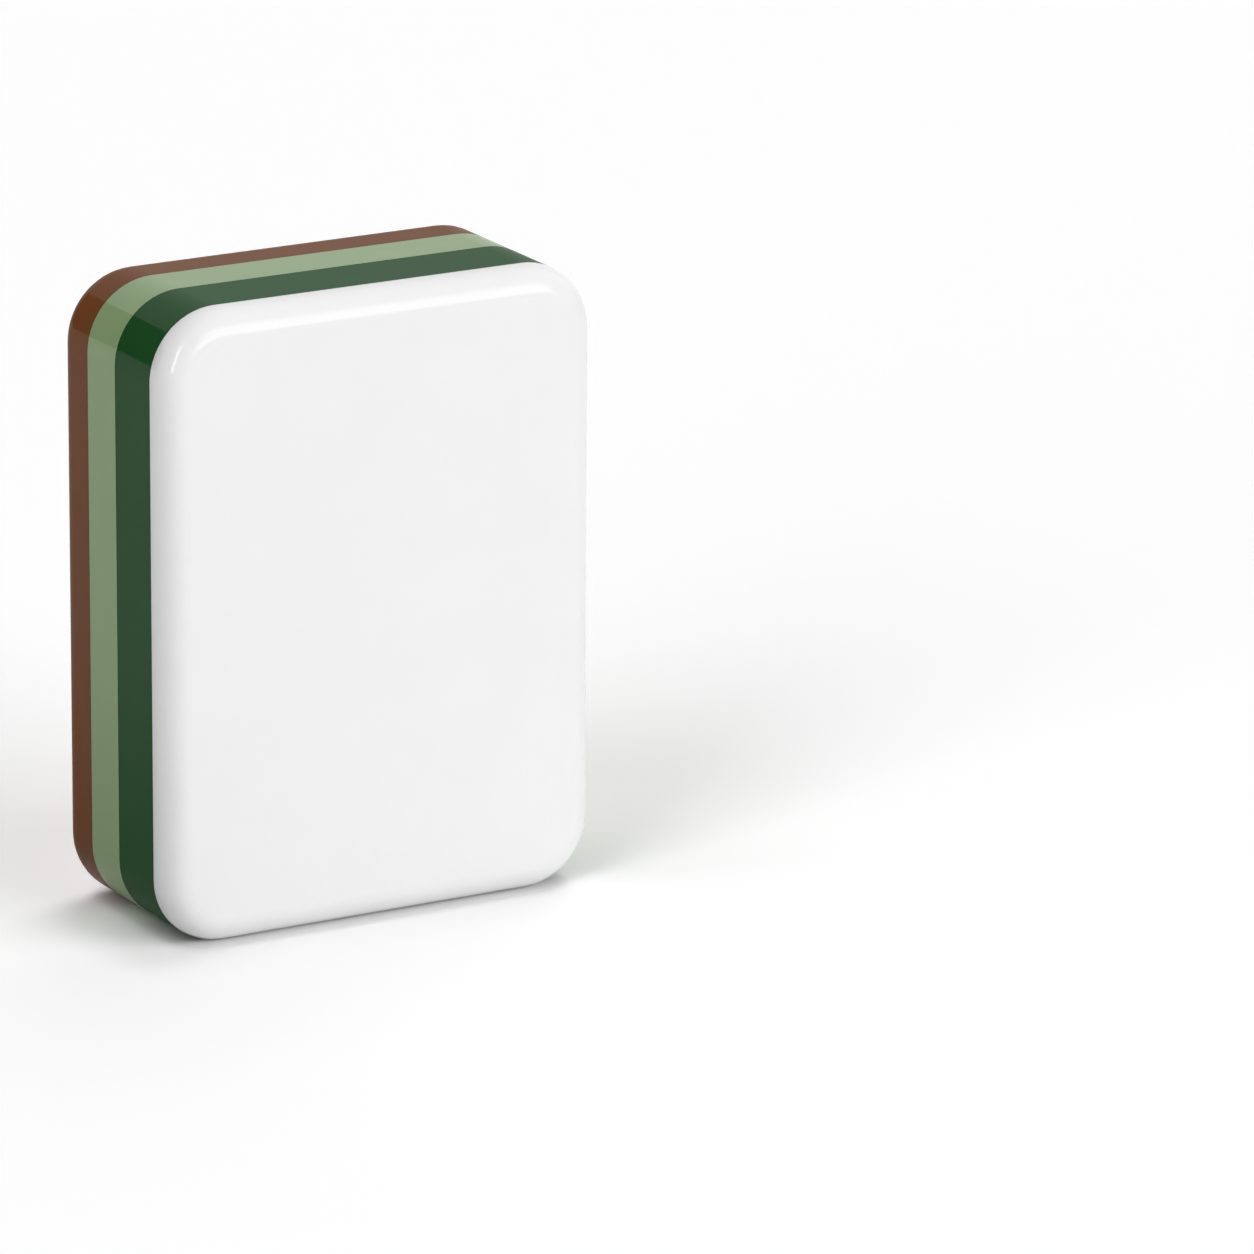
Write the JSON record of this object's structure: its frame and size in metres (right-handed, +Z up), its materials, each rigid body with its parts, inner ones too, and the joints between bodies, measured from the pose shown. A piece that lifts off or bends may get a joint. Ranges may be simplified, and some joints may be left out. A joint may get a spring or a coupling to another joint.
{
  "type": "mahjong tile",
  "caption": "Blank mahjong tile: white face slab, dark green, light green and brown back slabs bonded flush, round corners and rolled face and back edges.",
  "frame": {"origin": "middle of the short end that the tile stands on, on the plane of the surface under it", "axes": "+Z up along the tile's height, +Y from the white face towards the brown back, +X to the right as the white face is looked at"},
  "size_m": [0.024, 0.0112, 0.032],
  "materials": {
    "white_slab": "polished",
    "dark_green_slab": "polished",
    "light_green_slab": "polished",
    "brown_slab": "polished",
    "cement": "clear cured cement, polished flush"
  },
  "bodies": {
    "root": {"face_slab": "white_slab", "face_bond_film": "cement", "dark_green_slab": "dark_green_slab", "core_bond_film": "cement", "light_green_slab": "light_green_slab", "back_bond_film": "cement", "back_slab": "brown_slab"}
  },
  "joints": []
}
